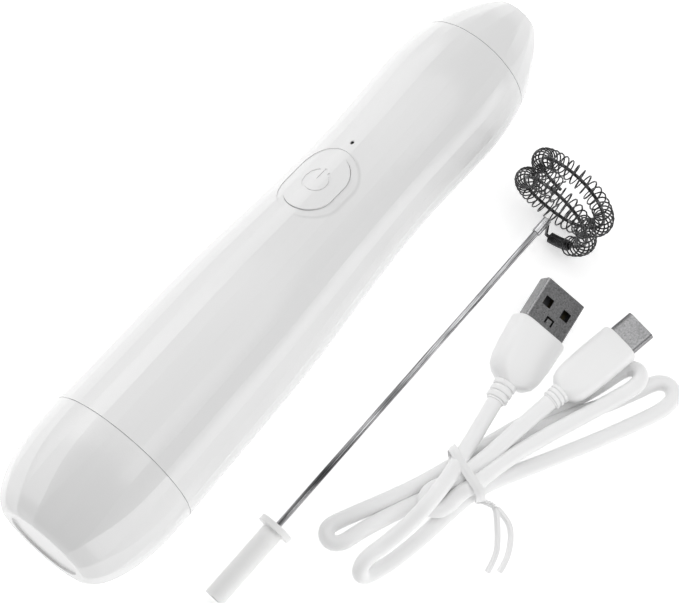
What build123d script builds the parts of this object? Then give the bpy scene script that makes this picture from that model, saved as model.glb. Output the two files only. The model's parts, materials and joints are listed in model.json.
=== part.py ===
from build123d import *
import math
import os

os.makedirs("parts", exist_ok=True)

# ---------------------------------------------------------------- driving sizes, mm
# handle: measured along its own axis from the flat base end
handle_length = 175.0
belly_radius = 20.0
waist_share = 0.815
bulge_share = 0.8475
shell_wall = 1.8
facet_count = 16
button_turn = 18.5
base_recess_radius = 9.5
base_recess_depth = 0.5
seam_line = 0.2
seam_depth = 0.35
body_flat = 5.2

# power button and its recess
button_length = 17.5
button_width = 12.6
button_gap = 0.1
button_travel = 0.35
button_proud = 0.2
recess_margin = 1.75
recess_depth = 0.22
icon_radius = 3.5
icon_line = 0.55
icon_depth = 0.2

# drive end
coupler_radius = 4.3
coupler_gap = 0.3
motor_shaft_radius = 1.0
running_gap = 0.03

# whisk
adapter_radius = 2.65
adapter_length = 20.6
flange_radius = 4.4
flange_thickness = 1.5
shaft_radius = 0.78
sleeve_radius = 1.1
sleeve_length = 5.0
whisk_reach = 127.1
ring_radius = 10.65
ring_pitch = 6.0
spring_radius = 2.6
spring_shell = 0.45
tight_radius = 1.45
ring_wire_radius = 0.45
wire_gap = 0.03
ring_turns = 1.94
tight_turn = 35.0

# charging cable
cord_radius = 1.95
usb_a_width = 12.0
usb_a_height = 4.5
usb_a_reach = 11.4
usb_c_width = 8.34
usb_c_height = 2.56
usb_c_reach = 6.7
sheet = 0.3

# layout on the table: x along the handle, y across
whisk_start = (17.7, -33.5)
whisk_heading = -2.3
usb_a_place = (115.7, -53.0, 7.2)
usb_a_heading = 7.1
usb_a_roll = 30.0
usb_c_place = (125.4, -70.0, 7.4)
usb_c_heading = -10.5
tie_place = (77.2, -60.9)
tie_heading = -27.0


# ---------------------------------------------------------------- shape of the handle
def along(share):
    return share * handle_length


# outer corner radius at shares of the length
outline = [
    (0.0, 0.595),
    (0.003, 0.66),
    (0.0086, 0.72),
    (0.0171, 0.780),
    (0.0286, 0.835),
    (0.0429, 0.887),
    (0.06, 0.931),
    (0.08, 0.967),
    (0.105, 0.9925),
    (0.135, 1.0),
    (0.165, 0.9985),
    (0.2, 0.991),
    (0.257, 0.981),
    (0.32, 0.973),
    (0.39, 0.957),
    (0.45, 0.929),
    (0.51, 0.888),
    (0.57, 0.8505),
    (0.63, 0.825),
    (0.69, waist_share),
    (0.745, 0.826),
    (0.79, 0.841),
    (0.825, bulge_share),
    (0.855, 0.833),
    (0.88, 0.804),
    (0.9, 0.7665),
    (0.92, 0.714),
    (0.94, 0.645),
    (0.96, 0.558),
    (0.978, 0.464),
    (0.991, 0.385),
    (1.0, 0.325),
]
stations = [along(share) for share, _ in outline]
radii = [belly_radius * share for _, share in outline]


def slope_at(i):
    lower = max(i - 1, 0)
    upper = min(i + 1, len(stations) - 1)
    return (radii[upper] - radii[lower]) / (stations[upper] - stations[lower])


def outer_radius(x):
    # smooth curve through the stations
    i = max(k for k in range(len(stations) - 1) if stations[k] <= x + 1e-9)
    span = stations[i + 1] - stations[i]
    t = (x - stations[i]) / span
    start = radii[i] * (2 * t**3 - 3 * t**2 + 1)
    start += span * slope_at(i) * (t**3 - 2 * t**2 + t)
    end = radii[i + 1] * (3 * t**2 - 2 * t**3)
    end += span * slope_at(i + 1) * (t**3 - t**2)
    return start + end


base_seam = along(0.1543)
nose_seam = along(0.9)
waist_radius = belly_radius * waist_share
facet_step = 360.0 / facet_count


def facet_section(x, flat_half, first_corner):
    # one closed outline: flats joined by short arcs round the axis
    radius = outer_radius(x)
    plane = Plane(origin=(x, 0, 0), x_dir=(0, 0, 1), z_dir=(1, 0, 0))
    edges = []
    for k in range(facet_count):
        middle = first_corner + facet_step * (k + 0.5)
        turns = [middle - flat_half, middle + flat_half]
        turns.append(middle + facet_step / 2)
        turns.append(middle + facet_step - flat_half)
        points = []
        for turn in turns:
            angle = math.radians(turn)
            points.append((radius * math.cos(angle), radius * math.sin(angle)))
        edges.append(Line(points[0], points[1]))
        edges.append(ThreePointArc(points[1], points[2], points[3]))
    return plane * make_face(edges)


def facet_body(cuts, first_corner):
    sections = [facet_section(x, flat, first_corner) for x, flat in cuts]
    return loft(sections)


def round_body(points):
    # points are (position along the axis, radius), turned round the axis
    profile = Polyline(*[(x, r) for x, r in points], close=True)
    return revolve(make_face(profile), Axis.X)


def inner_radius(x):
    return outer_radius(x) * math.cos(math.radians(8.0)) - shell_wall


def tube(x0, x1, outer, inner):
    body = round_body([(x0, inner), (x1, inner), (x1, outer), (x0, outer)])
    return body


def group(pieces):
    # several solids kept as one part
    return Compound([solid for piece in pieces for solid in piece.solids()])


def rod(x0, x1, radius, y=0.0, z=0.0):
    plane = Plane(origin=(x0, y, z), x_dir=(0, 1, 0), z_dir=(1, 0, 0))
    return extrude(plane * Circle(radius), x1 - x0)


def block(x0, x1, y0, y1, z0, z1):
    size = Box(x1 - x0, y1 - y0, z1 - z0)
    return Pos((x0 + x1) / 2, (y0 + y1) / 2, (z0 + z1) / 2) * size


def stadium(x, length, width, z0, z1):
    outline_face = SlotOverall(length, width)
    return Pos(x, 0, z0) * extrude(outline_face, z1 - z0)


# ---------------------------------------------------------------- places in the handle
button_x = along(0.589)
led_x = along(0.665)
port_x = along(0.2315)
bulkhead_x = along(0.1915)
bulkhead_thickness = 2.5
spigot_length = bulkhead_x - base_seam - 0.5
cell_start = along(0.263)
cell_end = along(0.634)
cell_radius = 0.564 * waist_radius
cell_drop = 0.2085 * waist_radius
plate_z = cell_radius - cell_drop
plate_thickness = 1.7
plate_half_width = 0.61 * waist_radius
board_z = plate_z + plate_thickness
board_thickness = 1.6
board_start = along(0.32)
board_end = cell_end - 0.4
board_half_width = 0.53 * waist_radius
board_top = board_z + board_thickness
motor_start = along(0.6545)
motor_front = along(0.806)
motor_radius = 0.736 * waist_radius
motor_wall = 0.8
bell_length = 3.0
mount_thickness = 2.5
nose_bore = 0.828 * waist_radius
ledge_bore = 0.779 * waist_radius
coupler_start = motor_front + mount_thickness + 1.5
coupler_end = handle_length - 0.6
socket_depth = adapter_length + 0.8
socket_floor = coupler_end - socket_depth
motor_shaft_end = socket_floor - 2.4

shell_inner = [base_seam - 1.0, base_seam + 4.0, bulkhead_x]
shell_inner += [along(s) for s in (0.257, 0.32, 0.39, 0.45, 0.51, 0.57, 0.63, 0.69)]
ledge_x = motor_front - 4.0


def shell_cavity():
    # the bore follows the outside up to the waist, then steps for the motor
    rear = [(x, inner_radius(x)) for x in shell_inner]
    curve = Spline(*rear)
    first = rear[0]
    last = rear[-1]
    edges = [
        curve,
        Line(last, (ledge_x, ledge_bore)),
        Line((ledge_x, ledge_bore), (motor_front, ledge_bore)),
        Line((motor_front, ledge_bore), (motor_front, nose_bore)),
        Line((motor_front, nose_bore), (nose_seam + 1.0, nose_bore)),
        Line((nose_seam + 1.0, nose_bore), (nose_seam + 1.0, 0)),
        Line((nose_seam + 1.0, 0), (first[0], 0)),
        Line((first[0], 0), first),
    ]
    return revolve(make_face(edges), Axis.X)


def seam_groove(x):
    # shallow line that shows where two shells meet
    top = outer_radius(x) + 1.0
    bottom = outer_radius(x) - seam_depth
    return tube(x - seam_line / 2, x + seam_line / 2, top, bottom)


def make_base_cap():
    cuts = [(0.0, 10.4), (along(0.003), 10.4), (along(0.0086), 10.4)]
    cuts += [(along(0.0171), 10.2), (along(0.0286), 9.6), (along(0.0429), 8.4)]
    cuts += [(along(0.06), 6.8), (along(0.08), 5.4), (along(0.105), 4.4)]
    cuts += [(along(0.135), 3.8), (base_seam, 3.6)]
    body = facet_body(cuts, facet_step / 2)
    recess = rod(-1, base_recess_depth, base_recess_radius)
    floor_x = base_recess_depth + 2.0
    hollow = [(floor_x, 0), (floor_x, outer_radius(floor_x) - 4.0)]
    for share in (0.0429, 0.08, 0.12):
        x = along(share)
        hollow.append((x, outer_radius(x) * 0.985 - shell_wall - 0.3))
    hollow.append((base_seam + 1, inner_radius(base_seam) - 1.6))
    hollow.append((base_seam + 1, 0))
    body = body - recess - round_body(hollow) - seam_groove(base_seam)
    spigot_end = base_seam + spigot_length
    grip = inner_radius(spigot_end)
    spigot = tube(base_seam - 2.0, spigot_end, grip, grip - 1.6)
    for y, z in screw_boss_places():
        spigot = spigot - rod(bulkhead_x - 2.2, bulkhead_x, 2.3, y, z)
    return body + spigot


def port_cut():
    # opening for the charging plug, opposite the button
    mouth = Plane(origin=(port_x, 0, -belly_radius), z_dir=(0, 0, 1))
    hole = mouth * SlotOverall(9.3, 3.6, rotation=90)
    pocket = mouth * SlotOverall(12.5, 6.6, rotation=90)
    depth = belly_radius - inner_radius(port_x) + 1.5
    through = extrude(hole, depth)
    shallow = extrude(pocket, belly_radius - outer_radius(port_x) + 0.9)
    return through + shallow


def light_line(radius, start_gap, length):
    # slanted line from the indicator on the board to the pinhole
    foot_x = board_end - 2.0
    foot_z = board_top + 0.85
    rise = outer_radius(led_x) - foot_z
    run = led_x - foot_x
    lean = Vector(run, 0, rise).normalized()
    reach = math.hypot(run, rise)
    start = Vector(foot_x, 0, foot_z) + lean * start_gap
    plane = Plane(origin=start, z_dir=lean)
    return extrude(plane * Circle(radius), reach - start_gap + length)


def screw_boss_places():
    reach = inner_radius(bulkhead_x) - 2.1
    return [(reach, 0.0), (-reach, 0.0)]


def make_shell(outer):
    body = outer - shell_cavity()
    for y, z in screw_boss_places():
        boss = rod(bulkhead_x + bulkhead_thickness, bulkhead_x + 11.0, 2.5, y, z)
        body = body + (boss & outer)
        body = body - rod(bulkhead_x, bulkhead_x + 9.0, 0.9, y, z)
    top = belly_radius + 2.0
    dish = stadium(button_x, button_length + 2 * recess_margin,
                   button_width + 2 * recess_margin, 0.6 * waist_radius, top)
    body = body - (dish - Pos(0, 0, -recess_depth) * outer)
    hole = stadium(button_x, button_length + 2 * button_gap,
                   button_width + 2 * button_gap, 0.6 * waist_radius, top)
    body = body - hole - port_cut()
    body = body - light_line(0.45, 4.0, 3.0)
    body = body - seam_groove(base_seam) - seam_groove(nose_seam)
    return body


def shell_outer():
    spots = [base_seam] + [along(s) for s, _ in outline]
    spots = sorted(x for x in spots if base_seam <= x < nose_seam - 0.5)
    spots.append(nose_seam)
    return facet_body([(x, body_flat) for x in spots], 0.0)


def make_nose_cap():
    cuts = [(nose_seam, body_flat), (along(0.92), 6.6), (along(0.94), 8.2)]
    cuts += [(along(0.96), 9.3), (along(0.978), 10.0), (along(0.991), 10.3)]
    cuts += [(handle_length, 10.5)]
    body = facet_body(cuts, 0.0)
    seal_x = along(0.949)
    hollow = [(nose_seam - 1, 0), (nose_seam - 1, nose_bore - 1.4)]
    hollow.append((nose_seam, nose_bore - 1.4))
    hollow.append((seal_x, 0.83 * outer_radius(seal_x) - shell_wall))
    hollow.append((seal_x, 0))
    body = body - round_body(hollow)
    body = body - rod(nose_seam, handle_length + 1, coupler_radius + coupler_gap)
    body = body - rod(seal_x, seal_x + 2.5, coupler_radius + 2.2)
    spigot_start = motor_front + mount_thickness
    spigot = tube(spigot_start, nose_seam, nose_bore - running_gap, nose_bore - 1.4)
    return body - seam_groove(nose_seam) + spigot


# ---------------------------------------------------------------- button and board
def power_mark(top_z):
    # ring with a gap and a bar, the common on-off sign
    ring = Circle(icon_radius) - Circle(icon_radius - icon_line)
    gap = Pos(icon_radius, 0) * Rectangle(2.6, 2.4)
    bar = Pos(icon_radius * 0.62, 0) * Rectangle(icon_radius, icon_line)
    mark = (ring - gap) + bar
    return Pos(button_x, 0, top_z) * extrude(mark, 6)


stem_top = board_top + 2.8
flange_top = stem_top + 0.8


def make_button(outer):
    raised = Pos(0, 0, button_proud) * outer
    column = stadium(button_x, button_length, button_width, stem_top + 0.3,
                     belly_radius + 2)
    cap = column & raised
    hollow = stadium(button_x, button_length - 3, button_width - 3, 0,
                     flange_top + 1.0)
    flange = stadium(button_x, button_length + 1.8, button_width + 1.8, stem_top,
                     flange_top)
    sunk = Pos(0, 0, button_proud - icon_depth) * outer
    mark = power_mark(flange_top + 1.0) - sunk
    return cap - hollow + flange - mark - light_line(0.85, 0, 0)


def make_switch():
    base = block(button_x - 3, button_x + 3, -3, 3, board_top, board_top + 2.2)
    hole = Pos(button_x, 0, board_top + 1.5) * Cylinder(
        1.65, 2.0, align=(Align.CENTER, Align.CENTER, Align.MIN))
    plunger = Pos(button_x, 0, board_top + 1.5 + 0.42) * Cylinder(
        1.6, stem_top - board_top - 1.92, align=(Align.CENTER, Align.CENTER, Align.MIN))
    return base - hole, plunger


def make_board():
    return block(board_start, board_end, -board_half_width, board_half_width,
                 board_z, board_top)


def make_chips():
    chips = []
    for share, width, depth, height in ((0.44, 5, 4, 1.2), (0.49, 4, 4, 1.8),
                                        (0.39, 3, 6, 1.0)):
        x = along(share)
        chip = block(x - width / 2, x + width / 2, 2, 2 + depth, board_top,
                     board_top + height)
        chips.append(chip)
    return group(chips)


def make_led():
    foot_x = board_end - 2.0
    return block(foot_x - 1.0, foot_x + 1.0, -0.7, 0.7, board_top, board_top + 0.8)


def make_light_pipe():
    # starts on the indicator and stops inside the pinhole
    pipe = light_line(0.4, -1.0, -1.5)
    foot_x = board_end - 2.0
    return pipe & block(foot_x - 3, led_x + 5, -3, 3, board_top + 0.8, 40)


# ---------------------------------------------------------------- cell and frame
def make_cell():
    body = rod(cell_start + 0.3, cell_end - 0.3 - 1.0, cell_radius, 0, -cell_drop)
    tip = rod(cell_end - 1.3, cell_end - 0.3, 0.3 * cell_radius, 0, -cell_drop)
    return body + tip


# the far tab stands to one side, clear of the indicator and the motor's leads
tab_side = 2.2
tab_half_width = 1.3


def make_tabs():
    tabs = []
    low = -cell_drop - 2.0
    for x0, lie0, lie1, side in (
        (cell_start, cell_start, board_start + 2.0, 0.0),
        (cell_end - 0.3, board_end - 3.5, cell_end, tab_side),
    ):
        left = side - tab_half_width
        right = side + tab_half_width
        upright = block(x0, x0 + 0.3, left, right, low, board_top + 0.3)
        flat = block(lie0, lie1, left, right, board_top, board_top + 0.3)
        tabs.append(upright + flat)
    return group(tabs)


def frame_disc(x0, x1, gap, top):
    radius = min(inner_radius(x0), inner_radius(x1)) - gap
    disc = rod(x0, x1, radius)
    return disc & block(x0 - 1, x1 + 1, -40, 40, -40, top)


def make_frame():
    plate = block(bulkhead_x, cell_end + 2.9, -plate_half_width, plate_half_width,
                  plate_z, board_z)
    body = plate + frame_disc(bulkhead_x, bulkhead_x + bulkhead_thickness, 0.05, 12)
    for share in (0.29, 0.44, 0.60):
        x = along(share)
        body = body + frame_disc(x, x + 2.4, 0.05, board_z)
    body = body + frame_disc(cell_end + 0.4, cell_end + 2.9, 0.05, board_z)
    body = body - rod(cell_start - 0.1, cell_end + 0.1, cell_radius + 0.05, 0, -cell_drop)
    notch = tab_half_width + 0.2
    for x, side in ((cell_start, 0.0), (cell_end - 0.3, tab_side)):
        body = body - block(x - 0.2, x + 0.5, side - notch, side + notch, -20, 20)
    leg = port_board_edge
    for side in (-1, 1):
        y0, y1 = sorted((side * leg, side * (leg + 1.5)))
        body = body + block(port_x - 4.6, port_x + 4.6, y0, y1, port_board_low, plate_z)
    for y, z in screw_boss_places():
        body = body - rod(bulkhead_x - 1, bulkhead_x + 4, 1.25, y, z)
    return body


def make_frame_screws():
    screws = []
    for y, z in screw_boss_places():
        shank = rod(bulkhead_x, bulkhead_x + 8.5, 0.9, y, z)
        head = rod(bulkhead_x - 1.2, bulkhead_x, 1.9, y, z)
        slot = block(bulkhead_x - 1.3, bulkhead_x - 0.6, y - 1.2, y + 1.2, z - 0.2,
                     z + 0.2)
        screws.append(shank + head - slot)
    return group(screws)


# ---------------------------------------------------------------- charging socket
port_board_high = -0.6135 * belly_radius
port_board_low = port_board_high - 1.0
port_board_edge = 7.0


def make_port_board():
    return block(port_x - 4.4, port_x + 4.4, -port_board_edge, port_board_edge,
                 port_board_low, port_board_high)


def port_plane(z):
    return Plane(origin=(port_x, 0, z), z_dir=(0, 0, 1))


def make_port_shell():
    mouth = -outer_radius(port_x) + 0.95
    outer_face = port_plane(mouth) * SlotOverall(8.94, 3.26, rotation=90)
    inner_face = port_plane(mouth) * SlotOverall(8.34, 2.66, rotation=90)
    depth = port_board_low - mouth
    return extrude(outer_face, depth) - extrude(inner_face, depth - 1.0)


def make_port_tongue():
    mouth = -outer_radius(port_x) + 1.7
    depth = port_board_low - mouth - 1.0
    blade = extrude(port_plane(mouth) * Rectangle(0.7, 6.7), depth)
    return blade


# ---------------------------------------------------------------- motor and drive
def make_motor_can():
    can = tube(motor_start, motor_front, motor_radius, motor_radius - motor_wall)
    face = tube(motor_front - 1.2, motor_front, motor_radius, 2.5)
    body = can + face
    for y in (-0.55, 0.55):
        body = body - rod(motor_front - 2, motor_front + 1, 0.95, y * motor_radius)
    return body


def make_end_bell():
    cover = tube(motor_start, motor_start + bell_length, motor_radius - motor_wall, 2.5)
    return cover


def make_bushes():
    inner = motor_shaft_radius + running_gap
    rear = tube(motor_start, motor_start + bell_length, 2.5, inner)
    front = tube(motor_front - 2.4, motor_front + 1.2, 2.5, inner)
    return group([rear, front])


def make_magnets():
    inside = motor_radius - motor_wall
    ring = tube(motor_start + 5.5, motor_front - 4.0, inside, inside - 1.8)
    slot = block(motor_start, motor_front, -40, 40, -2.2, 2.2)
    return ring - slot


def make_motor_shaft():
    return rod(motor_start + 0.4, motor_shaft_end, motor_shaft_radius)


def make_rotor():
    outer = motor_radius - motor_wall - 1.8 - 0.5
    start = motor_start + 7.0
    end = motor_front - 5.5
    core = tube(start, end, outer, motor_shaft_radius)
    for k in range(3):
        slot = block(start - 1, end + 1, -0.7, 0.7, outer * 0.42, outer + 1)
        core = core - Rot(X=120.0 * k) * slot
    return core


def make_commutator():
    start = motor_start + bell_length + 0.5
    end = motor_start + 7.0
    ring = tube(start, end, 2.6, motor_shaft_radius)
    for k in range(3):
        slot = block(start - 1, end - 0.6, -0.2, 0.2, 2.1, 4)
        ring = ring - Rot(X=120.0 * k + 60) * slot
    return ring


def make_motor_mount():
    outer = nose_bore - 0.03
    disc = tube(motor_front, motor_front + mount_thickness, outer, 2.5 + 0.3)
    for y in (-0.55, 0.55):
        spot = y * motor_radius
        disc = disc - rod(motor_front - 1, motor_front + 4, 1.15, spot)
    return disc


def make_motor_screws():
    face = motor_front + mount_thickness
    screws = []
    for y in (-0.55, 0.55):
        spot = y * motor_radius
        shank = rod(motor_front - 2.2, face, 0.95, spot)
        head = rod(face, face + 1.1, 1.8, spot)
        slot = block(face + 0.6, face + 2, spot - 1.1, spot + 1.1, -0.2, 0.2)
        screws.append(shank + head - slot)
    return group(screws)


def make_motor_leads():
    leads = []
    for side in (-1, 1):
        y = side * (tab_side + tab_half_width + 0.74)
        leads.append(rod(board_end - 7.5, motor_start, 0.5, y, board_top + 0.5))
    return group(leads)


def make_coupler():
    body = tube(coupler_start, socket_floor, coupler_radius, motor_shaft_radius)
    body = body - rod(motor_shaft_end, socket_floor + 1, 1.4)
    grip = tube(socket_floor, coupler_end, coupler_radius, adapter_radius + running_gap)
    lead_in = round_body([
        (coupler_end + 0.1, 0),
        (coupler_end - 0.6, 0),
        (coupler_end - 0.6, adapter_radius),
        (coupler_end + 0.1, adapter_radius + 0.7),
    ])
    return body + grip - lead_in


def make_seal():
    start = along(0.949)
    return tube(start, start + 2.5, coupler_radius + 2.2, coupler_radius + 0.05)


# ---------------------------------------------------------------- whisk, along +X
helix_start = whisk_reach - ring_pitch * ring_turns / 2
leg_x = helix_start


def ring_sweep(radius, from_turn, to_turn):
    # tube wound round the whisk axis, starting at the bottom and passing -Y first
    height = ring_pitch * (to_turn - from_turn) / 360.0
    path = Helix(ring_pitch, height, ring_radius, lefthand=True)
    start = path @ 0
    section = Plane(origin=start, z_dir=path % 0) * Circle(radius)
    swept = sweep(section, path, is_frenet=True)
    # the winding is made round Z from +X; lay the axis along X
    turned = Rot(Y=90) * swept
    shift = helix_start + ring_pitch * from_turn / 360.0
    return Pos(shift, 0, 0) * (Rot(X=-from_turn) * turned)


def make_ring_wire():
    winding = ring_sweep(ring_wire_radius, 0, 360.0 * ring_turns)
    stub = rod(leg_x - 2.4, leg_x, ring_wire_radius)
    leg = Pos(leg_x, 0, -ring_radius) * Cylinder(
        ring_wire_radius, ring_radius, align=(Align.CENTER, Align.CENTER, Align.MIN))
    knees = [Pos(leg_x, 0, 0) * Sphere(ring_wire_radius)]
    knees.append(Pos(leg_x, 0, -ring_radius) * Sphere(ring_wire_radius))
    return winding + stub + leg + knees[0] + knees[1]


def make_spring():
    # outer shape of the spring: tight at its start, open round both rings
    end_turn = 360.0 * ring_turns
    tight = ring_sweep(tight_radius, 6.0, tight_turn + 3.0)
    open_part = ring_sweep(spring_radius, tight_turn, end_turn - 4.0)
    hollow = ring_sweep(spring_radius - spring_shell, tight_turn + 3.0, end_turn - 7.0)
    bore = ring_sweep(ring_wire_radius + wire_gap, 3.0, end_turn - 1.0)
    return (tight + open_part) - hollow - bore


def make_adapter():
    body = rod(0, adapter_length, adapter_radius)
    flange = rod(adapter_length, adapter_length + flange_thickness, flange_radius)
    body = body + flange - rod(-1, 6.0, 1.55)
    return body - rod(6.0, adapter_length + flange_thickness + 1, shaft_radius)


def make_whisk_shaft():
    return rod(7.0, leg_x - 2.4, shaft_radius)


def make_sleeve():
    start = leg_x - sleeve_length
    end = leg_x - ring_wire_radius - 0.1
    body = rod(start, end, sleeve_radius)
    body = body - rod(start - 1, leg_x - 2.4, shaft_radius)
    return body - rod(leg_x - 3, end + 1, ring_wire_radius)


# ---------------------------------------------------------------- cable, plug along +X
def rounded_bar(x0, x1, width, height, corner):
    plane = Plane(origin=(x0, 0, 0), x_dir=(0, 1, 0), z_dir=(1, 0, 0))
    return extrude(plane * RectangleRounded(width, height, corner), x1 - x0)


def make_usb_a():
    shell = rounded_bar(-3.0, usb_a_reach, usb_a_width, usb_a_height, 0.5)
    shell = shell - rounded_bar(-4.0, usb_a_reach + 1, usb_a_width - 2 * sheet,
                                usb_a_height - 2 * sheet, 0.3)
    for side in (-1, 1):
        y = side * 2.85
        shell = shell - block(usb_a_reach - 6.3, usb_a_reach - 3.9, y - 1.2, y + 1.2, 0, 4)
    latch = block(1.6, 3.5, -1.2, 1.2, 0, 4) - block(1.6, 3.0, -0.7, 0.7, 0, 4)
    shell = shell - latch
    core = rounded_bar(-3.0, usb_a_reach - 1.0, usb_a_width - 2 * sheet,
                       usb_a_height - 2 * sheet, 0.3)
    tongue = core - block(0.0, usb_a_reach, -usb_a_width, usb_a_width, -0.1, 5)
    pins = []
    for spot in (-3.5, -1.0, 1.0, 3.5):
        pins.append(block(usb_a_reach - 8.2, usb_a_reach - 1.6, spot - 0.5, spot + 0.5,
                          -0.1, 0.05))
    body = rounded_bar(-15.0, 0.0, 14.8, 7.8, 3.0)
    body = body - rounded_bar(-3.0, 1.0, usb_a_width, usb_a_height, 0.5)
    boot = rod(-21.0, -15.0, 2.9)
    for x in (-19.6, -17.6):
        boot = boot - tube(x, x + 0.8, 4.0, 2.4)
    return shell, tongue, group(pins), body + boot


def make_usb_c():
    plane = Plane(origin=(-3.0, 0, 0), x_dir=(0, 1, 0), z_dir=(1, 0, 0))
    outer = extrude(plane * SlotOverall(usb_c_width, usb_c_height), usb_c_reach + 3.0)
    inner = extrude(plane * SlotOverall(usb_c_width - 2 * sheet,
                                        usb_c_height - 2 * sheet), usb_c_reach + 4.0)
    shell = outer - inner
    core = extrude(plane * SlotOverall(usb_c_width - 2 * sheet,
                                       usb_c_height - 2 * sheet), usb_c_reach + 2.4)
    core = core - block(0.5, usb_c_reach + 1, -3.2, 3.2, -0.42, 0.42)
    body = rounded_bar(-19.0, 0.0, 10.6, 6.0, 2.9)
    body = body - outer
    boot = rod(-23.0, -19.0, 2.7)
    for x in (-22.0, -20.5):
        boot = boot - tube(x, x + 0.7, 4.0, 2.3)
    return shell, core, body + boot


def lay_usb_a(piece):
    x, y, z = usb_a_place
    return Pos(x, y, z) * (Rot(Z=usb_a_heading) * (Rot(X=usb_a_roll) * piece))


def lay_usb_c(piece):
    x, y, z = usb_c_place
    return Pos(x, y, z) * (Rot(Z=usb_c_heading) * piece)


def flat_outline(points, z0, z1):
    face = make_face(Polyline(*points, close=True))
    return Pos(0, 0, z0) * extrude(face, z1 - z0)


def tie_frame(piece):
    x, y = tie_place
    return Pos(x, y, 0) * (Rot(Z=tie_heading) * piece)


tie_width = 1.6
tie_span = 12.6
tie_skin = 0.9
bundle_height = 7.8


def make_hank():
    # closed outer shape of the folded cord, one layer at the folds, two at the tie
    low = [(79.5, -55.0), (60.0, -45.5), (50.0, -41.0), (45.0, -41.5), (43.6, -46.0)]
    low += [(44.0, -50.0), (41.4, -54.5), (43.0, -58.2), (57.0, -59.5), (75.0, -67.5)]
    low += [(92.0, -74.0), (118.0, -89.5), (126.0, -90.0), (128.2, -86.0)]
    low += [(125.5, -77.0), (122.0, -75.2), (97.0, -63.8), (94.5, -56.5)]
    high = [(66.0, -50.5), (60.0, -58.5), (75.0, -67.0), (96.5, -72.0), (98.0, -64.5)]
    high += [(92.0, -58.8), (91.5, -54.8), (80.0, -55.0)]
    layer = 2 * cord_radius
    body = flat_outline(low, 0, layer) + flat_outline(high, layer - 1, bundle_height)
    a_stub = lay_usb_a(rod(-27.0, -21.0, cord_radius))
    c_stub = lay_usb_c(rod(-29.0, -23.0, cord_radius))
    body = body + a_stub + c_stub
    # waist drawn in by the tie
    zone = tie_frame(block(-tie_width / 2, tie_width / 2, -40, 40, -1, 20))
    core = tie_frame(block(-tie_width / 2, tie_width / 2, -tie_span / 2, tie_span / 2,
                           tie_skin, bundle_height))
    return body - (zone - core)


def make_tie():
    half = tie_width / 2
    band = block(-half, half, -tie_span / 2 - tie_skin, tie_span / 2 + tie_skin, 0.0,
                 bundle_height + tie_skin)
    band = band - block(-half - 1, half + 1, -tie_span / 2, tie_span / 2, tie_skin,
                        bundle_height)
    twist = rod(-0.6, 0.6, 1.1, -tie_span / 2 - tie_skin - 0.6, 3.0)
    body = tie_frame(band + twist)
    start = (74.0, -67.8, 3.0)
    for bend, end in (((75.2, -73.6, 1.2), (66.2, -81.4, 0.9)),
                      ((72.0, -74.8, 1.2), (63.6, -79.4, 0.9))):
        path = FilletPolyline(start, bend, end, radius=3.0)
        section = Plane(origin=path @ 0, z_dir=path % 0) * Circle(0.75)
        body = body + sweep(section, path)
    return body


# ---------------------------------------------------------------- put it together
def rest_tilt():
    # slope at which the belly and the bulge both touch the table
    low, high = 0.0, math.radians(5.0)
    for _ in range(60):
        tilt = (low + high) / 2
        heights = []
        for first, last in ((0.06, 0.3), (0.7, 0.9)):
            reach = 0.0
            for k in range(401):
                x = along(first + (last - first) * k / 400)
                drop = x * math.sin(tilt) + outer_radius(x) * math.cos(tilt)
                reach = max(reach, drop)
            heights.append(reach)
        if heights[1] > heights[0]:
            high = tilt
        else:
            low = tilt
    return tilt, heights[0]


def whisk_rise():
    # the adapter's end and the near ring's spring both touch the table
    head = ring_radius + spring_radius
    reach = helix_start + ring_pitch * 0.1
    return math.degrees(math.asin((head - adapter_radius) / reach))


tilt, axis_height = rest_tilt()


def lay_handle(piece):
    turned = Rot(X=-button_turn) * piece
    return Pos(0, 0, axis_height) * (Rot(Y=math.degrees(tilt)) * turned)


rise = whisk_rise()


def lay_whisk(piece):
    x, y = whisk_start
    raised = Rot(Z=whisk_heading) * (Rot(Y=-rise) * piece)
    return Pos(x, y, adapter_radius * math.cos(math.radians(rise))) * raised


outer = shell_outer()
switch_base, switch_plunger = make_switch()
a_shell, a_tongue, a_pins, a_body = make_usb_a()
c_shell, c_core, c_body = make_usb_c()

handle_nodes = {
    "base_cap": make_base_cap(),
    "main_shell": make_shell(outer),
    "nose_cap": make_nose_cap(),
    "power_button": make_button(outer),
    "switch_plunger": switch_plunger,
    "switch_base": switch_base,
    "circuit_board": make_board(),
    "board_chips": make_chips(),
    "status_led": make_led(),
    "light_pipe": make_light_pipe(),
    "battery_cell": make_cell(),
    "battery_tabs": make_tabs(),
    "inner_frame": make_frame(),
    "frame_screws": make_frame_screws(),
    "port_board": make_port_board(),
    "port_shell": make_port_shell(),
    "port_tongue": make_port_tongue(),
    "motor_can": make_motor_can(),
    "motor_end_bell": make_end_bell(),
    "motor_bushes": make_bushes(),
    "motor_magnets": make_magnets(),
    "motor_mount": make_motor_mount(),
    "motor_screws": make_motor_screws(),
    "motor_leads": make_motor_leads(),
    "motor_shaft": make_motor_shaft(),
    "rotor_core": make_rotor(),
    "commutator": make_commutator(),
    "drive_coupler": make_coupler(),
    "shaft_seal": make_seal(),
}
whisk_nodes = {
    "whisk_adapter": make_adapter(),
    "whisk_shaft": make_whisk_shaft(),
    "whisk_sleeve": make_sleeve(),
    "ring_wire": make_ring_wire(),
    "ring_spring": make_spring(),
}
cable_nodes = {
    "usb_a_shell": lay_usb_a(a_shell),
    "usb_a_tongue": lay_usb_a(a_tongue),
    "usb_a_pins": lay_usb_a(a_pins),
    "usb_a_body": lay_usb_a(a_body),
    "usb_c_shell": lay_usb_c(c_shell),
    "usb_c_core": lay_usb_c(c_core),
    "usb_c_body": lay_usb_c(c_body),
    "cable_hank": make_hank(),
    "twist_tie": make_tie(),
}


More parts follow.
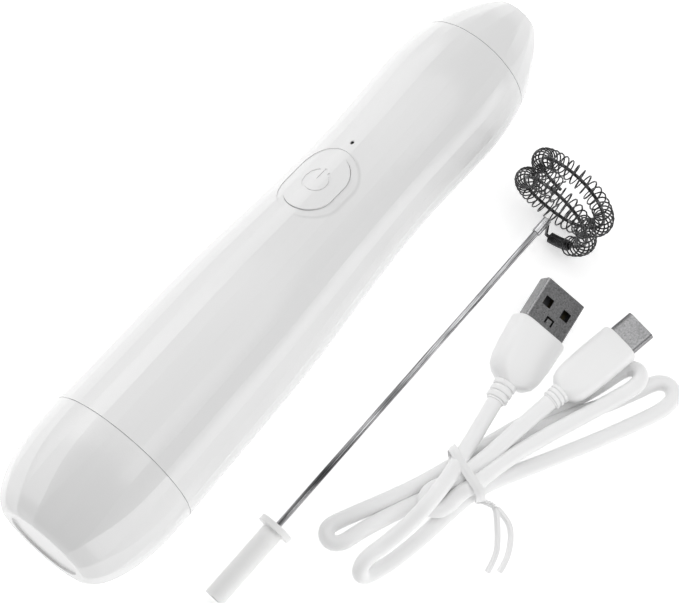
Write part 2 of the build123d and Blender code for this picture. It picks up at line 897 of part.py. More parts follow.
def set_down(nodes, supports):
    # lower or raise a group until its supports just touch the table
    low = min(nodes[name].bounding_box().min.Z for name in supports)
    moved = {name: Pos(0, 0, -low) * piece for name, piece in nodes.items()}
    return moved, low


laid_handle = {name: lay_handle(piece) for name, piece in handle_nodes.items()}
laid_whisk = {name: lay_whisk(piece) for name, piece in whisk_nodes.items()}
placed, handle_drop = set_down(laid_handle, ("base_cap", "main_shell"))
laid_whisk, whisk_drop = set_down(laid_whisk, ("whisk_adapter", "ring_spring"))
placed.update(laid_whisk)

# origin under the middle of the handle and whisk, on the table
boxes = [piece.bounding_box() for piece in placed.values()]
middle_x = (min(b.min.X for b in boxes) + max(b.max.X for b in boxes)) / 2
middle_y = (min(b.min.Y for b in boxes) + max(b.max.Y for b in boxes)) / 2
placed.update(cable_nodes)
for name, piece in placed.items():
    solid = Pos(-middle_x, -middle_y, 0) * piece
    export_step(solid, "parts/" + name + ".step")


def show_spot(label, lay, drop, x, y=0.0, z=0.0):
    # where a point of the handle or whisk lies in the finished frame
    spot = (Pos(-middle_x, -middle_y, -drop) * lay(Pos(x, y, z) * Vertex(0, 0, 0)))
    print(label, [round(v, 4) for v in spot.center()])


show_spot("base face", lay_handle, handle_drop, 0, 0, 10.7)
show_spot("axis at base", lay_handle, handle_drop, 0)
show_spot("axis at tip", lay_handle, handle_drop, handle_length)
show_spot("socket middle", lay_handle, handle_drop, (socket_floor + coupler_end) / 2)
show_spot("button", lay_handle, handle_drop, button_x, 0, outer_radius(button_x))
show_spot("indicator", lay_handle, handle_drop, led_x, 0, outer_radius(led_x))
show_spot("port mouth", lay_handle, handle_drop, port_x, 0, -outer_radius(port_x))
show_spot("adapter end", lay_whisk, whisk_drop, 0)
show_spot("adapter middle", lay_whisk, whisk_drop, adapter_length / 2)
show_spot("head middle", lay_whisk, whisk_drop, whisk_reach)
show_spot("helix start", lay_whisk, whisk_drop, helix_start)
print("socket length", round(coupler_end - 0.6 - socket_floor, 3))
print("tilt", round(math.degrees(tilt), 4), "rise", round(rise, 4))
print("middle", round(middle_x, 4), round(middle_y, 4))
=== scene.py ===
import json
import math

import bmesh
import bpy
from mathutils import Matrix, Vector


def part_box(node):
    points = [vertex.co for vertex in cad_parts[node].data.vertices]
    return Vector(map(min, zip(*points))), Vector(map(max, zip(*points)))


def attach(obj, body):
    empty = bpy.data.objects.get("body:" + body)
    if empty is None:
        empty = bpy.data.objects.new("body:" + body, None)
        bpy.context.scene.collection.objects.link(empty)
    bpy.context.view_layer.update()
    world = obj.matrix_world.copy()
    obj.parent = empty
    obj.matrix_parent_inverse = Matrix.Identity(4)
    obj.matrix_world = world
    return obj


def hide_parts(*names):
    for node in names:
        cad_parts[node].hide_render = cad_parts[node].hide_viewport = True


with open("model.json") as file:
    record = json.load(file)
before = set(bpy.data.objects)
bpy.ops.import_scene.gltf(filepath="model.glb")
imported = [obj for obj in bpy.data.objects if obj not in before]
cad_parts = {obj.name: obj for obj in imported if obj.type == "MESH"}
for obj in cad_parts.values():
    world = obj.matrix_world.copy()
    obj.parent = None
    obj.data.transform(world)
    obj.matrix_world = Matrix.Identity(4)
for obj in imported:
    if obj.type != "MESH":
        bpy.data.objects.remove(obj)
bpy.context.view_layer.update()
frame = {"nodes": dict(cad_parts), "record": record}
nodes = frame["nodes"]
mounts = {mount["name"]: mount for mount in frame["record"]["mounts"]}
MM = 0.001
# sockets of a colour Mix node
MIX_FACTOR, MIX_FIRST, MIX_SECOND, MIX_RESULT = 0, 6, 7, 2


# ------------------------------------------------------------ camera
def add_camera():
    data = bpy.data.cameras.new("camera")
    data.lens = 113.9
    data.sensor_width = 36.0
    data.clip_start = 0.01
    camera = bpy.data.objects.new("camera", data)
    bpy.context.scene.collection.objects.link(camera)
    camera.location = (-0.14635, -0.11613, 0.48638)
    aim = Vector((0.00658, 0.0067, 0.0)) - camera.location
    camera.rotation_euler = aim.to_track_quat("-Z", "Y").to_euler()
    bpy.context.scene.camera = camera


add_camera()


# ------------------------------------------------------------ curves and meshes
def smooth_line(name, points, radius=0.0):
    """A NURBS line through the air that bends round its control points, given in mm."""
    data = bpy.data.curves.new(name, "CURVE")
    data.dimensions = "3D"
    spline = data.splines.new("NURBS")
    spline.points.add(len(points) - 1)
    for spot, (x, y, z) in zip(spline.points, points):
        spot.co = (x * MM, y * MM, z * MM, 1.0)
        spot.radius = max(radius, MM)
    spline.order_u = 3
    spline.use_endpoint_u = True
    spline.resolution_u = 10
    # a point's radius multiplies the curve's own, and its box counts the point's alone
    data.bevel_depth = radius / max(radius, MM)
    data.bevel_resolution = 5
    data.use_fill_caps = True
    piece = bpy.data.objects.new(name, data)
    bpy.context.scene.collection.objects.link(piece)
    return piece


def line_points(name, points):
    """The points along such a line, read from the line itself."""
    guide = smooth_line(name, points)
    mesh = bpy.data.meshes.new_from_object(guide)
    spots = [v.co.copy() for v in mesh.vertices]
    bpy.data.objects.remove(guide)
    bpy.data.meshes.remove(mesh)
    return spots


def finish_mesh(name, bm, smooth=True, flat_over=None):
    bmesh.ops.recalc_face_normals(bm, faces=bm.faces)
    mesh = bpy.data.meshes.new(name)
    bm.to_mesh(mesh)
    bm.free()
    mesh.polygons.foreach_set("use_smooth", [smooth] * len(mesh.polygons))
    piece = bpy.data.objects.new(name, mesh)
    bpy.context.scene.collection.objects.link(piece)
    if flat_over is not None:
        mesh.set_sharp_from_angle(angle=math.radians(flat_over))
    return piece


def swept(name, spots, outlines, body, node, finish, flat_over=40):
    """A solid through spots, with one outline in mm at each, across the way and upward."""
    bm = bmesh.new()
    face = bm.faces.new([bm.verts.new((0, 0, 0)) for _ in outlines[0]])
    last = len(spots) - 1
    side = Vector((0, 0, 1))
    for i, spot in enumerate(spots):
        ahead = (spots[min(i + 1, last)] - spots[max(i - 1, 0)]).normalized()
        side = (side - ahead * side.dot(ahead)).normalized()
        across = ahead.cross(side)
        if i:
            made = bmesh.ops.extrude_face_region(bm, geom=[face])["geom"]
            if i > 1:
                bmesh.ops.delete(bm, geom=[face], context="FACES_ONLY")
            face = [g for g in made if isinstance(g, bmesh.types.BMFace)][0]
        for v, (a, b) in zip(face.verts, outlines[i]):
            v.co = spot + (across * a + side * b) * MM
    piece = finish_mesh(name, bm, True, flat_over)
    piece.data.materials.append(finish)
    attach(piece, body)
    if node:
        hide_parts(node)
    return piece


def turned(outline, angle):
    cos, sin = math.cos(angle), math.sin(angle)
    return [(a * cos - b * sin, a * sin + b * cos) for a, b in outline]


def rounded_outline(half_wide, half_high, corner, steps=7):
    """A rectangle with round corners, as points in order round it."""
    points = []
    for quarter, (sx, sy) in enumerate(((1, 1), (-1, 1), (-1, -1), (1, -1))):
        for step in range(steps + 1):
            angle = math.pi / 2 * (quarter + step / steps)
            points.append((
                sx * (half_wide - corner) + corner * math.cos(angle),
                sy * (half_high - corner) + corner * math.sin(angle),
            ))
    return points


# ------------------------------------------------------------ charging cord
cord_diameter = 3.9
cord_route = [
    # out of the wide plug and through the tie
    (9.5, -39.4, 7.2),
    (3.5, -40.2, 7.2),
    (-3.0, -41.2, 7.1),
    (-8.6, -41.9, 7.2),
    (-14.5, -42.9, 9.2),
    (-22.0, -43.2, 9.6),
    (-29.0, -42.5, 8.0),
    (-36.0, -40.9, 6.6),
    # first fold on the left, back under itself
    (-40.4, -39.7, 6.6),
    (-43.0, -39.6, 6.0),
    (-44.6, -40.3, 4.3),
    (-44.0, -41.4, 2.4),
    (-41.2, -42.6, 1.9),
    (-36.4, -44.2, 1.95),
    (-28.0, -45.9, 1.95),
    (-20.0, -47.0, 2.1),
    (-13.5, -48.2, 2.9),
    (-8.5, -50.0, 2.7),
    (-2.0, -53.4, 2.0),
    (6.0, -57.9, 1.95),
    (16.0, -63.4, 1.95),
    (26.0, -68.4, 1.95),
    # wide loop on the right
    (32.0, -71.2, 1.95),
    (36.4, -72.0, 1.95),
    (38.8, -69.4, 1.95),
    (37.6, -66.2, 1.95),
    (33.0, -64.0, 1.95),
    (26.0, -60.6, 1.95),
    (19.0, -56.2, 1.95),
    (12.5, -52.4, 1.95),
    (5.5, -49.4, 1.95),
    (-1.0, -47.4, 2.2),
    (-7.0, -46.0, 2.8),
    (-12.5, -44.4, 2.8),
    (-19.0, -41.4, 2.0),
    (-26.0, -37.9, 1.95),
    (-33.0, -34.9, 1.95),
    # second fold on the left
    (-37.4, -33.3, 1.95),
    (-40.2, -32.5, 1.95),
    (-42.2, -31.0, 1.95),
    (-42.3, -28.5, 1.95),
    (-40.2, -27.1, 1.95),
    (-37.2, -28.2, 1.95),
    (-33.0, -30.3, 1.95),
    (-26.5, -33.7, 1.95),
    (-19.5, -37.1, 2.0),
    (-12.5, -40.0, 2.8),
    (-7.0, -42.0, 2.8),
    (-1.0, -43.9, 2.2),
    (5.5, -46.2, 1.95),
    (13.0, -49.2, 1.95),
    (22.0, -53.6, 1.95),
    # short loop on the right
    (28.6, -56.2, 2.1),
    (32.6, -57.3, 2.5),
    (35.6, -58.9, 3.5),
    (36.0, -61.6, 4.9),
    (33.6, -63.4, 5.8),
    (30.6, -62.9, 5.9),
    (26.6, -61.4, 5.9),
    (18.3, -58.0, 5.7),
    (9.6, -54.4, 5.7),
    (1.0, -51.2, 6.0),
    (-6.0, -49.4, 6.5),
    (-11.5, -48.4, 6.7),
    # small turn hidden behind the tie, and out to the narrow plug
    (-15.6, -46.6, 5.9),
    (-19.2, -46.5, 5.8),
    (-21.8, -45.4, 5.8),
    (-22.7, -43.2, 5.8),
    (-21.4, -41.1, 5.8),
    (-18.6, -41.0, 5.8),
    (-14.6, -43.2, 5.8),
    (-10.2, -45.0, 6.7),
    (-4.5, -46.6, 7.0),
    (2.0, -47.6, 7.2),
    (9.0, -48.7, 7.4),
    (17.4, -50.24, 7.4),
]
cord = smooth_line("charging_cord", cord_route, cord_diameter / 2 * MM)
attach(cord, "cable")
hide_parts("cable_hank")


# ------------------------------------------------------------ finishes
class Value:
    """A socket of a finish that adds Math nodes where it is used in an expression."""

    def __init__(self, finish, socket):
        self.finish = finish
        self.socket = socket

    def calc(self, operation, first, second):
        node = self.finish.add(
            "ShaderNodeMath", {"operation": operation}, {0: first, 1: second}
        )
        return Value(self.finish, node.outputs[0])

    def __add__(self, other):
        return self.calc("ADD", self, other)

    def __radd__(self, other):
        return self.calc("ADD", other, self)

    def __sub__(self, other):
        return self.calc("SUBTRACT", self, other)

    def __rsub__(self, other):
        return self.calc("SUBTRACT", other, self)

    def __mul__(self, other):
        return self.calc("MULTIPLY", self, other)

    def __rmul__(self, other):
        return self.calc("MULTIPLY", other, self)

    def __pow__(self, other):
        return self.calc("POWER", self, other)

    def __abs__(self):
        return self.calc("ABSOLUTE", self, 0.0)

    def at_least(self, limit):
        return self.calc("MAXIMUM", self, limit)

    def at_most(self, limit):
        return self.calc("MINIMUM", self, limit)


class Finish:
    """One material: its nodes are added by add() and its shader is a Principled BSDF."""

    def __init__(self, name, **uniform):
        self.material = bpy.data.materials.new(name)
        self.material.use_nodes = True
        self.tree = self.material.node_tree
        self.shader = self.tree.nodes["Principled BSDF"]
        for key, value in uniform.items():
            self.shader.inputs[key.replace("_", " ")].default_value = value

    def add(self, kind, settings=None, inputs=None):
        node = self.tree.nodes.new(kind)
        for key, value in (settings or {}).items():
            setattr(node, key, value)
        for key, value in (inputs or {}).items():
            self.feed(node.inputs[key], value)
        return node

    def feed(self, socket, value):
        if isinstance(value, Value):
            self.tree.links.new(value.socket, socket)
        else:
            socket.default_value = value

    def out(self, node, name=0):
        return Value(self, node.outputs[name])

    def noise(self, scale, detail=3.0, stretch=(1, 1, 1), turn=(0, 0, 0)):
        place = self.add("ShaderNodeTexCoord")
        spread = self.add(
            "ShaderNodeMapping",
            None,
            {"Vector": self.out(place, "Object"), "Rotation": turn, "Scale": stretch},
        )
        node = self.add(
            "ShaderNodeTexNoise",
            None,
            {"Vector": self.out(spread), "Scale": scale, "Detail": detail},
        )
        return self.out(node, "Fac")

    def mix(self, first, second, factor):
        node = self.add(
            "ShaderNodeMix",
            {"data_type": "RGBA"},
            {MIX_FACTOR: factor, MIX_FIRST: first, MIX_SECOND: second},
        )
        self.feed(self.shader.inputs["Base Color"], self.out(node, MIX_RESULT))

    def colour(self, first, second, factor):
        self.mix((*first, 1.0), (*second, 1.0), factor)

    def tint(self, shade, mask):
        """Turns the colour so far towards a shade where the mask is high."""
        so_far = self.shader.inputs["Base Color"].links[0].from_socket
        self.mix(Value(self, so_far), (*shade, 1.0), mask)

    def reach(self, origin, way):
        """How far a point of the surface lies from origin along a direction, in metres."""
        place = self.add("ShaderNodeTexCoord")
        offset = self.add(
            "ShaderNodeVectorMath",
            {"operation": "SUBTRACT"},
            {0: self.out(place, "Object"), 1: tuple(origin)},
        )
        node = self.add(
            "ShaderNodeVectorMath",
            {"operation": "DOT_PRODUCT"},
            {0: self.out(offset), 1: tuple(way)},
        )
        return self.out(node, "Value")

    def rough(self, value):
        self.feed(self.shader.inputs["Roughness"], value)

    def bump(self, height, depth, strength=1.0):
        node = self.add(
            "ShaderNodeBump",
            None,
            {"Height": height, "Distance": depth, "Strength": strength},
        )
        self.feed(self.shader.inputs["Normal"], self.out(node, "Normal"))


button_way = next(
    -Vector(joint["axis"])
    for joint in frame["record"]["behaviour"]["joints"]
    if joint["name"] == "button_press"
)
handle_way = Vector(mounts["drive_socket"]["axis"])
button_across = button_way.cross(handle_way)
button_low, button_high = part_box("power_button")
button_spot = (Vector(button_low) + Vector(button_high)) / 2
indicator_spot = Vector((29.37, 21.13, 33.3)) * MM
indicator_radius = 0.48 * MM
indicator_fade = 0.08 * MM
indicator_depth = 4.0 * MM
indicator_depth_fade = 1.0 * MM
# near black, painted in the pinhole as its shade
pinhole_painted_shade = (0.01, 0.01, 0.01)
# the button's dish is a slot with round ends
dish_half_run = 2.45 * MM
dish_end_radius = 8.05 * MM
dish_line_half_width = 0.55 * MM
dish_line_fade = 0.5 * MM
# painted shade: a grey line along the low side of the dish's edge
dish_painted_shade = (0.66, 0.66, 0.66)
dish_painted_shade_strength = 0.7
dish_depth = 8.0 * MM
dish_depth_fade = 2.0 * MM
low_side_start = -1.0 * MM
low_side_fade = 3.0 * MM


def below(value, limit, fade):
    """0 where a value lies over a limit, rising to 1 over the fade's width under it."""
    return ((limit - value) * (1 / fade)).at_least(0.0).at_most(1.0)


def paint_recess_shade(finish):
    """Painted shade along the low side of the button's dish, and painted shade inside the pinhole."""
    along = finish.reach(button_spot, handle_way)
    across = finish.reach(button_spot, button_across)
    past_run = (abs(along) - dish_half_run).at_least(0.0)
    edge = (past_run * past_run + across * across) ** 0.5 - dish_end_radius
    line = below(abs(edge), dish_line_half_width, dish_line_fade)
    low_side = below(across, low_side_start, low_side_fade)
    depth = 0.0 - finish.reach(button_spot, button_way)
    near = below(depth, dish_depth, dish_depth_fade)
    # painted shade along the dish's low edge
    finish.tint(dish_painted_shade, dish_painted_shade_strength * line * low_side * near)
    # painted shade inside the pinhole over the indicator
    side = finish.reach(indicator_spot, button_across)
    ahead = finish.reach(indicator_spot, handle_way)
    away = (side * side + ahead * ahead) ** 0.5
    depth = 0.0 - finish.reach(indicator_spot, button_way)
    shallow = below(depth, indicator_depth, indicator_depth_fade)
    finish.tint(pinhole_painted_shade, below(away, indicator_radius, indicator_fade) * shallow)


flow_scale = 22.0
grain_scale = 2600.0
cloud_scale = 90.0


def moulded(name, shade, roughness, grain=0.00002, coat=0.0, drift=0.02, paint_shade=None):
    """Moulded plastic: slight flow marks in its shade and a fine, shallow grain."""
    finish = Finish(name, IOR=1.5, Coat_Weight=coat, Coat_Roughness=0.12)
    flow = finish.noise(flow_scale, 2.0)
    fine = finish.noise(grain_scale, 2.0)
    dark = tuple(c * (1.0 - drift) for c in shade)
    finish.colour(dark, shade, flow)
    # painted shade, where a function for it is given
    if paint_shade:
        paint_shade(finish)
    finish.rough(roughness + 0.05 * fine - 0.04 * flow)
    finish.bump(fine, grain, 0.4)
    return finish.material


def plated(
    name, dark, light, roughness, speckle, depth, contrast=1.0, stretch=(1, 1, 1), turn=(0, 0, 0)
):
    """Plated or drawn metal: uneven shade, and fine marks along the way it was drawn."""
    finish = Finish(name, Metallic=1.0)
    marks = finish.noise(speckle, 4.0, stretch, turn)
    cloud = finish.noise(cloud_scale, 2.0)
    finish.colour(dark, light, 0.5 + contrast * (0.75 * marks + 0.25 * cloud - 0.5))
    finish.rough(roughness + 0.16 * marks - 0.05 * cloud)
    finish.bump(marks, depth, 0.5)
    return finish.material


whisk_turn = (0.0, math.radians(5.0), math.radians(2.3))
# the shell's finish also carries painted shade at the button's dish and the pinhole
white_shell = moulded("white_shell", (0.82, 0.82, 0.82), 0.22, coat=0.15, paint_shade=paint_recess_shade)
white_button = moulded("white_button", (0.83, 0.83, 0.83), 0.26, coat=0.1)
white_plastic = moulded("white_plastic", (0.92, 0.92, 0.915), 0.42, 0.00003)
grey_plastic = moulded("grey_plastic", (0.4, 0.41, 0.42), 0.5, 0.00004)
# near black for the light pipe: painted shade deep in the pinhole
light_pipe_painted_shade = moulded("light_pipe_painted_shade", (0.01, 0.01, 0.012), 0.5, 0.00003)
dark_plastic = moulded("dark_plastic", (0.03, 0.03, 0.033), 0.45, 0.00003)
board_green = moulded("board_green", (0.03, 0.17, 0.07), 0.35, 0.00003, 0.3, 0.25)
cell_sleeve = moulded("cell_sleeve", (0.09, 0.24, 0.5), 0.3, 0.00003, 0.3, 0.1)
lead_red = moulded("lead_red", (0.45, 0.04, 0.03), 0.4)
seal_rubber = moulded("seal_rubber", (0.35, 0.35, 0.35), 0.75, 0.00006)
cord_white = moulded("cord_white", (0.93, 0.93, 0.93), 0.4, 0.00003, drift=0.03)
magnet_grey = moulded("magnet_grey", (0.06, 0.06, 0.065), 0.6, 0.00008)
plain_steel = plated("plain_steel", (0.42, 0.42, 0.43), (0.62, 0.62, 0.63), 0.28, 900.0, 0.00001)
plug_steel = plated("plug_steel", (0.13, 0.13, 0.133), (0.38, 0.38, 0.385), 0.25, 2600.0, 0.00004, 2.0)
contact_dull = plated("contact_dull", (0.02, 0.017, 0.012), (0.09, 0.075, 0.045), 0.5, 900.0, 0.00001)
whisk_steel = plated(
    "whisk_steel", (0.06, 0.06, 0.062), (0.5, 0.5, 0.51), 0.1, 1100.0, 0.00001, 3.0,
    (0.001, 1, 1), whisk_turn,
)
spring_steel = plated(
    "spring_steel", (0.01, 0.01, 0.011), (0.14, 0.14, 0.143), 0.14, 1200.0, 0.00001, 2.0
)
plain_brass = plated("plain_brass", (0.5, 0.36, 0.14), (0.75, 0.58, 0.3), 0.3, 900.0, 0.00001)


def clear(name):
    finish = Finish(name, Transmission_Weight=1.0, IOR=1.49)
    cloud = finish.noise(400.0, 2.0)
    finish.colour((0.8, 0.85, 0.9), (0.9, 0.93, 0.95), cloud)
    finish.rough(0.08 + 0.08 * cloud)
    return finish.material


clear_plastic = clear("clear_plastic")

slots = {
    "white_shell": white_shell,
    "white_button": white_button,
    "white_plastic": white_plastic,
    "grey_plastic": grey_plastic,
    "dark_plastic": dark_plastic,
    "clear_plastic": clear_plastic,
    "board_green": board_green,
    "cell_can": cell_sleeve,
    "nickel": plug_steel,
    "steel": plain_steel,
    "bright_steel": whisk_steel,
    "spring_steel": spring_steel,
    "brass": plain_brass,
    "magnet": magnet_grey,
    "copper_lead": lead_red,
    "seal_rubber": seal_rubber,
    "cord_white": cord_white,
}
for part in frame["record"]["subparts"]:
    mesh = nodes[part["node"]].data
    mesh.materials.clear()
    mesh.materials.append(slots[part["material_slot"]])
nodes["usb_a_pins"].data.materials[0] = contact_dull
# the light pipe is made near black as painted shade in the pinhole
nodes["light_pipe"].data.materials[0] = light_pipe_painted_shade
cord.data.materials.append(cord_white)


# ------------------------------------------------------------ whisk frame
stub = mounts["whisk_stub"]
stub_half_length = 10.3
whisk_way = -Vector(stub["axis"]).normalized()
whisk_side = Vector((-whisk_way.y, whisk_way.x, 0.0)).normalized()
whisk_up = whisk_way.cross(whisk_side)
whisk_start = Vector(stub["pos_m"]) - whisk_way * stub_half_length * MM

ring_radius = 10.65
round_trip = 2 * math.pi * ring_radius
head_middle = 127.1
core_turns = 1.94
core_radius = 0.43
core_start = 0.6
core_step = 0.9
# the spring's run in turns round the rings, the radius of its loops and of its wire
spring_run = (0.1, 1.925)
spring_loop_radius = 2.37
spring_wire_radius = 0.2
spring_loops = 70
# the tighter wire that closes the spring's first end
collar_run = (0.018, 0.102)
collar_loop_radius = 1.22
collar_wire_radius = 0.23
collar_loops = 12
# how far the core wire stands from the head's middle at each quarter turn
quarter_leans = [-6.4, -4.7, -3.2, -2.0, -0.4, 1.9, 3.3, 4.4, 4.9]


# the core wire's bend down from the shaft's end to the rings, along the whisk and upward
core_drop = [
    (118.3, 0.0),
    (120.0, 0.0),
    (120.8, -0.3),
    (121.1, -1.1),
    (121.1, -5.0),
    (120.9, -9.4),
    (120.75, -10.3),
]


def ring_lean(turn):
    """The lean at any turn, eased a little so that it has no kink at the quarters."""
    last = len(quarter_leans) - 1
    place = min(max(turn * 4, 0.0), last - 0.001)
    i = int(place)
    share = place - i
    share = share * share * (3 - 2 * share) * 0.3 + share * 0.7
    return quarter_leans[i] * (1 - share) + quarter_leans[i + 1] * share


def on_whisk(along, side, up):
    return whisk_start + (whisk_way * along + whisk_side * side + whisk_up * up) * MM


def wound(run, out, across):
    """A spot of the straight spring, laid round the rings: run is along the core wire."""
    turn = run / round_trip
    angle = 2 * math.pi * turn
    reach = ring_radius + out
    along = head_middle + ring_lean(turn) + across
    return on_whisk(along, -reach * math.sin(angle), -reach * math.cos(angle))


def coil(bm, start, end, loop_radius, wire_radius, loops, steps=14, sides=7):
    """A straight coil of wire from start to end along X."""
    turn = Matrix.Rotation(math.pi / 2, 4, "X")
    section = bmesh.ops.create_circle(
        bm, cap_ends=True, segments=sides, radius=wire_radius,
        matrix=Matrix.Translation((start, 0.0, loop_radius)) @ turn,
    )["verts"]
    faces = list({face for v in section for face in v.link_faces})
    total = int(loops * steps)
    bmesh.ops.spin(
        bm, geom=faces + section, cent=(0, 0, 0), axis=(1, 0, 0),
        dvec=((end - start) / total, 0, 0), angle=2 * math.pi * loops, steps=total,
    )


def make_spring():
    bm = bmesh.new()
    start, end = [turn * round_trip for turn in collar_run]
    coil(bm, start, end, collar_loop_radius, collar_wire_radius, collar_loops, 12)
    start, end = [turn * round_trip for turn in spring_run]
    coil(bm, start, end, spring_loop_radius, spring_wire_radius, spring_loops)
    for v in bm.verts:
        v.co = wound(v.co.x, v.co.y, v.co.z)
    piece = finish_mesh("whisk_spring", bm)
    piece.data.materials.append(spring_steel)
    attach(piece, "whisk")
    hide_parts("ring_spring")


make_spring()


def make_core():
    """The wire that carries the spring, from the shaft's end down and round both rings."""
    spots = [on_whisk(along, 0.0, up) for along, up in core_drop]
    run = core_start
    while run < core_turns * round_trip:
        spots.append(wound(run, 0.0, 0.0))
        run += core_step
    outline = rounded_outline(core_radius, core_radius, core_radius - 0.001, 3)
    swept(
        "whisk_core", spots, [outline] * len(spots), "whisk", "ring_wire",
        spring_steel,
    )


make_core()


# ------------------------------------------------------------ tie round the cord
def ribbon(name, points, width, thickness, rolls, node=None):
    """A flat band with a wire down its middle, swept along a line and rolled as it goes."""
    half = [(-1, -0.35), (-0.3, -0.5), (0, -1), (0.3, -0.5), (1, -0.35)]
    strip = [(a * width / 2, b * thickness / 2) for a, b in half]
    strip += [(-a, -b) for a, b in strip]
    spots = line_points(name + "_line", points)
    outlines = [turned(strip, rolls(i / (len(spots) - 1))) for i in range(len(spots))]
    return swept(name, spots, outlines, "cable", node, cord_white, 50)


tie_loop = [
    (-13.2, -51.4, 3.4),
    (-13.6, -51.8, 6.2),
    (-12.8, -50.6, 9.4),
    (-11.6, -46.8, 9.5),
    (-10.4, -43.2, 9.9),
    (-8.6, -39.3, 9.8),
    (-7.7, -38.2, 6.4),
    (-7.6, -38.4, 2.0),
    (-8.4, -40.5, 0.4),
    (-10.2, -45.0, 0.35),
    (-12.0, -49.4, 0.4),
    (-12.9, -51.6, 1.2),
    (-12.9, -52.0, 3.4),
]
tie_twist = [(-12.9, -51.6, 3.8), (-12.3, -53.2, 3.4), (-11.8, -54.9, 2.8)]
tail_one_route = tie_twist + [
    (-12.0, -57.2, 1.9),
    (-13.0, -60.4, 1.3),
    (-16.6, -63.0, 1.3),
    (-20.6, -64.6, 1.3),
    (-23.4, -64.8, 1.2),
]
tail_two_route = tie_twist + [
    (-14.2, -57.3, 1.5),
    (-17.0, -59.6, 0.9),
    (-20.4, -61.9, 0.7),
    (-25.0, -62.6, 0.6),
]


tie_thickness = 0.55
tie_band_width = 2.2
tie_tail_width = 1.5
tie_half_turns = 3
tie_twisted_share = 0.3
tie_tail_tilt = -0.4


def twisting(start):
    """Half turns over the twisted stretch, then a flat tail lying a little on edge."""

    def roll(share):
        done = min(share / tie_twisted_share, 1.0)
        return start * (1.0 - done) + tie_tail_tilt + tie_half_turns * math.pi * done

    return roll


band = ribbon(
    "tie_band", tie_loop, tie_band_width, tie_thickness, lambda share: 0.0, "twist_tie"
)
tail_one = ribbon(
    "tie_tail_long", tail_one_route, tie_tail_width, tie_thickness, twisting(0.0)
)
tail_two = ribbon(
    "tie_tail_short", tail_two_route, tie_tail_width, tie_thickness, twisting(math.pi / 2)
)


# ------------------------------------------------------------ overmoulded plugs
def make_plug(name, node, mount_name, reach, roll, stations):
    """A plug's soft body, from the back of its boot to its front face, round its metal shell."""
    mount = mounts[mount_name]
    way = Vector(mount["axis"]).normalized()
    face = Vector(mount["pos_m"]) - way * reach * MM
    spots = [face + way * station[0] * MM for station in stations]
    outlines = [turned(rounded_outline(*station[1:]), -roll) for station in stations]
    return swept(name, spots, outlines, "cable", node, cord_white, 32)


def boot_ribs(back, front, ribs, radius, groove):
    """Stations of a round boot cut by grooves, each groove with rounded lips."""
    pitch = (front - back) / ribs
    lip = radius - 0.12
    growth = 0.08
    profile = (
        (0.0, groove), (0.25, groove), (0.3, lip), (0.42, radius), (0.88, radius), (0.99, lip)
    )
    rows = []
    for rib in range(ribs):
        for share, size in profile:
            size = size + growth * rib
            rows.append((back + (rib + share) * pitch, size, size, size - 0.01))
    return rows


# each station: place along the plug, half width, half height, corner radius, all in mm
plug_a_stations = boot_ribs(-21.0, -15.9, 3, 2.75, 2.2) + [
    (-15.85, 3.0, 3.0, 2.99),
    (-15.5, 3.7, 3.1, 3.0),
    (-14.9, 4.9, 3.3, 3.1),
    (-13.6, 6.1, 3.55, 3.15),
    (-11.6, 6.75, 3.72, 3.1),
    (-7.5, 7.15, 3.85, 3.0),
    (-0.8, 7.4, 3.9, 3.0),
    (-0.25, 7.28, 3.78, 2.9),
    (0.0, 7.0, 3.5, 2.7),
]
plug_c_stations = boot_ribs(-23.0, -19.4, 3, 2.5, 2.1) + [
    (-19.3, 2.75, 2.7, 2.65),
    (-18.8, 3.4, 2.78, 2.7),
    (-18.0, 4.2, 2.88, 2.8),
    (-16.6, 4.8, 2.94, 2.85),
    (-14.0, 5.15, 2.98, 2.9),
    (-9.0, 5.3, 3.0, 2.9),
    (-0.7, 5.3, 3.0, 2.9),
    (-0.2, 5.18, 2.88, 2.8),
    (0.0, 4.9, 2.6, 2.5),
]
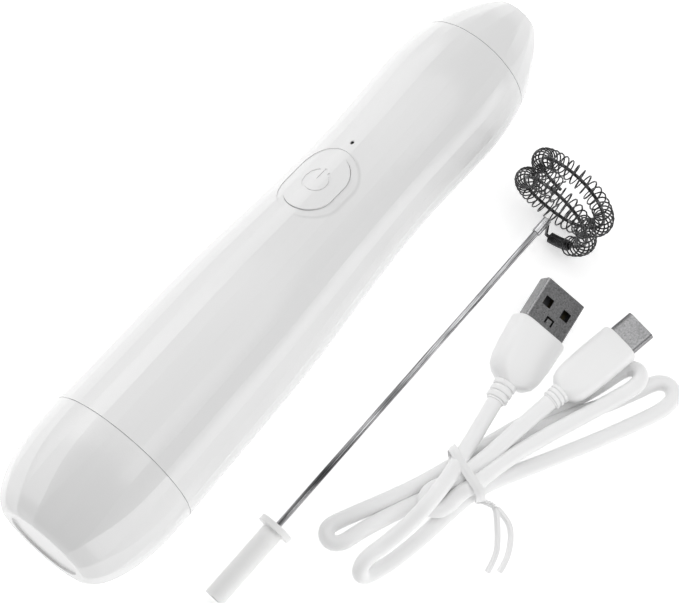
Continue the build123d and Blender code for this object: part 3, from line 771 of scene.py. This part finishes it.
# how far each plug's metal end stands out of its soft body, and the wide plug's roll
plug_a_reach = 11.4
plug_c_reach = 6.7
plug_a_roll = math.radians(30.0)
plug_a = make_plug(
    "plug_a_body", "usb_a_body", "plug_a_tip", plug_a_reach, plug_a_roll, plug_a_stations
)
plug_c = make_plug(
    "plug_c_body", "usb_c_body", "plug_c_tip", plug_c_reach, 0.0, plug_c_stations
)


# ------------------------------------------------------------ floor and light
floor_half_side = 3.0
floor_drop = 0.00005
floor_glow = 0.45


def add_floor():
    bm = bmesh.new()
    bmesh.ops.create_grid(bm, x_segments=1, y_segments=1, size=floor_half_side)
    floor = finish_mesh("floor", bm, False)
    floor.data.transform(Matrix.Translation((0, 0, -floor_drop)))
    finish = Finish("floor_white", Roughness=0.6)
    cloud = finish.noise(3.0, 2.0)
    finish.colour((0.9, 0.9, 0.9), (0.93, 0.93, 0.93), cloud)
    finish.shader.inputs["Emission Color"].default_value = (1, 1, 1, 1)
    finish.shader.inputs["Emission Strength"].default_value = floor_glow
    floor.data.materials.append(finish.material)


def add_light(name, place, aim, wide, high, power, spread=180):
    data = bpy.data.lights.new(name, "AREA")
    data.shape = "RECTANGLE"
    data.size = wide
    data.size_y = high
    data.energy = power
    data.spread = math.radians(spread)
    light = bpy.data.objects.new(name, data)
    bpy.context.scene.collection.objects.link(light)
    light.location = place
    way = Vector(aim) - Vector(place)
    light.rotation_euler = way.to_track_quat("-Z", "Y").to_euler()


def add_world(strength):
    world = bpy.data.worlds.new("studio")
    world.use_nodes = True
    background = world.node_tree.nodes["Background"]
    background.inputs["Color"].default_value = (1, 1, 1, 1)
    background.inputs["Strength"].default_value = strength
    bpy.context.scene.world = world


add_floor()
add_world(0.4)
add_light("top_strip", (0.27, 0.45, 0.8), (0.27, 0.45, 0.0), 0.35, 2.4, 4.6)
add_light("low_side", (0.0, -0.9, 0.1), (0, 0, 0.03), 1.6, 0.2, 2.5)
add_light("cord_side", (0.02, -0.2, 0.32), (0.0, -0.055, 0.0), 0.1, 0.1, 0.005, spread=36)
add_light("left_side", (0.0, 0.87, 0.5), (0, 0, 0), 1.6, 0.6, 3.9)
bpy.context.scene.view_settings.view_transform = "Standard"
bpy.context.scene.view_settings.look = "None"

bpy.context.view_layer.update()
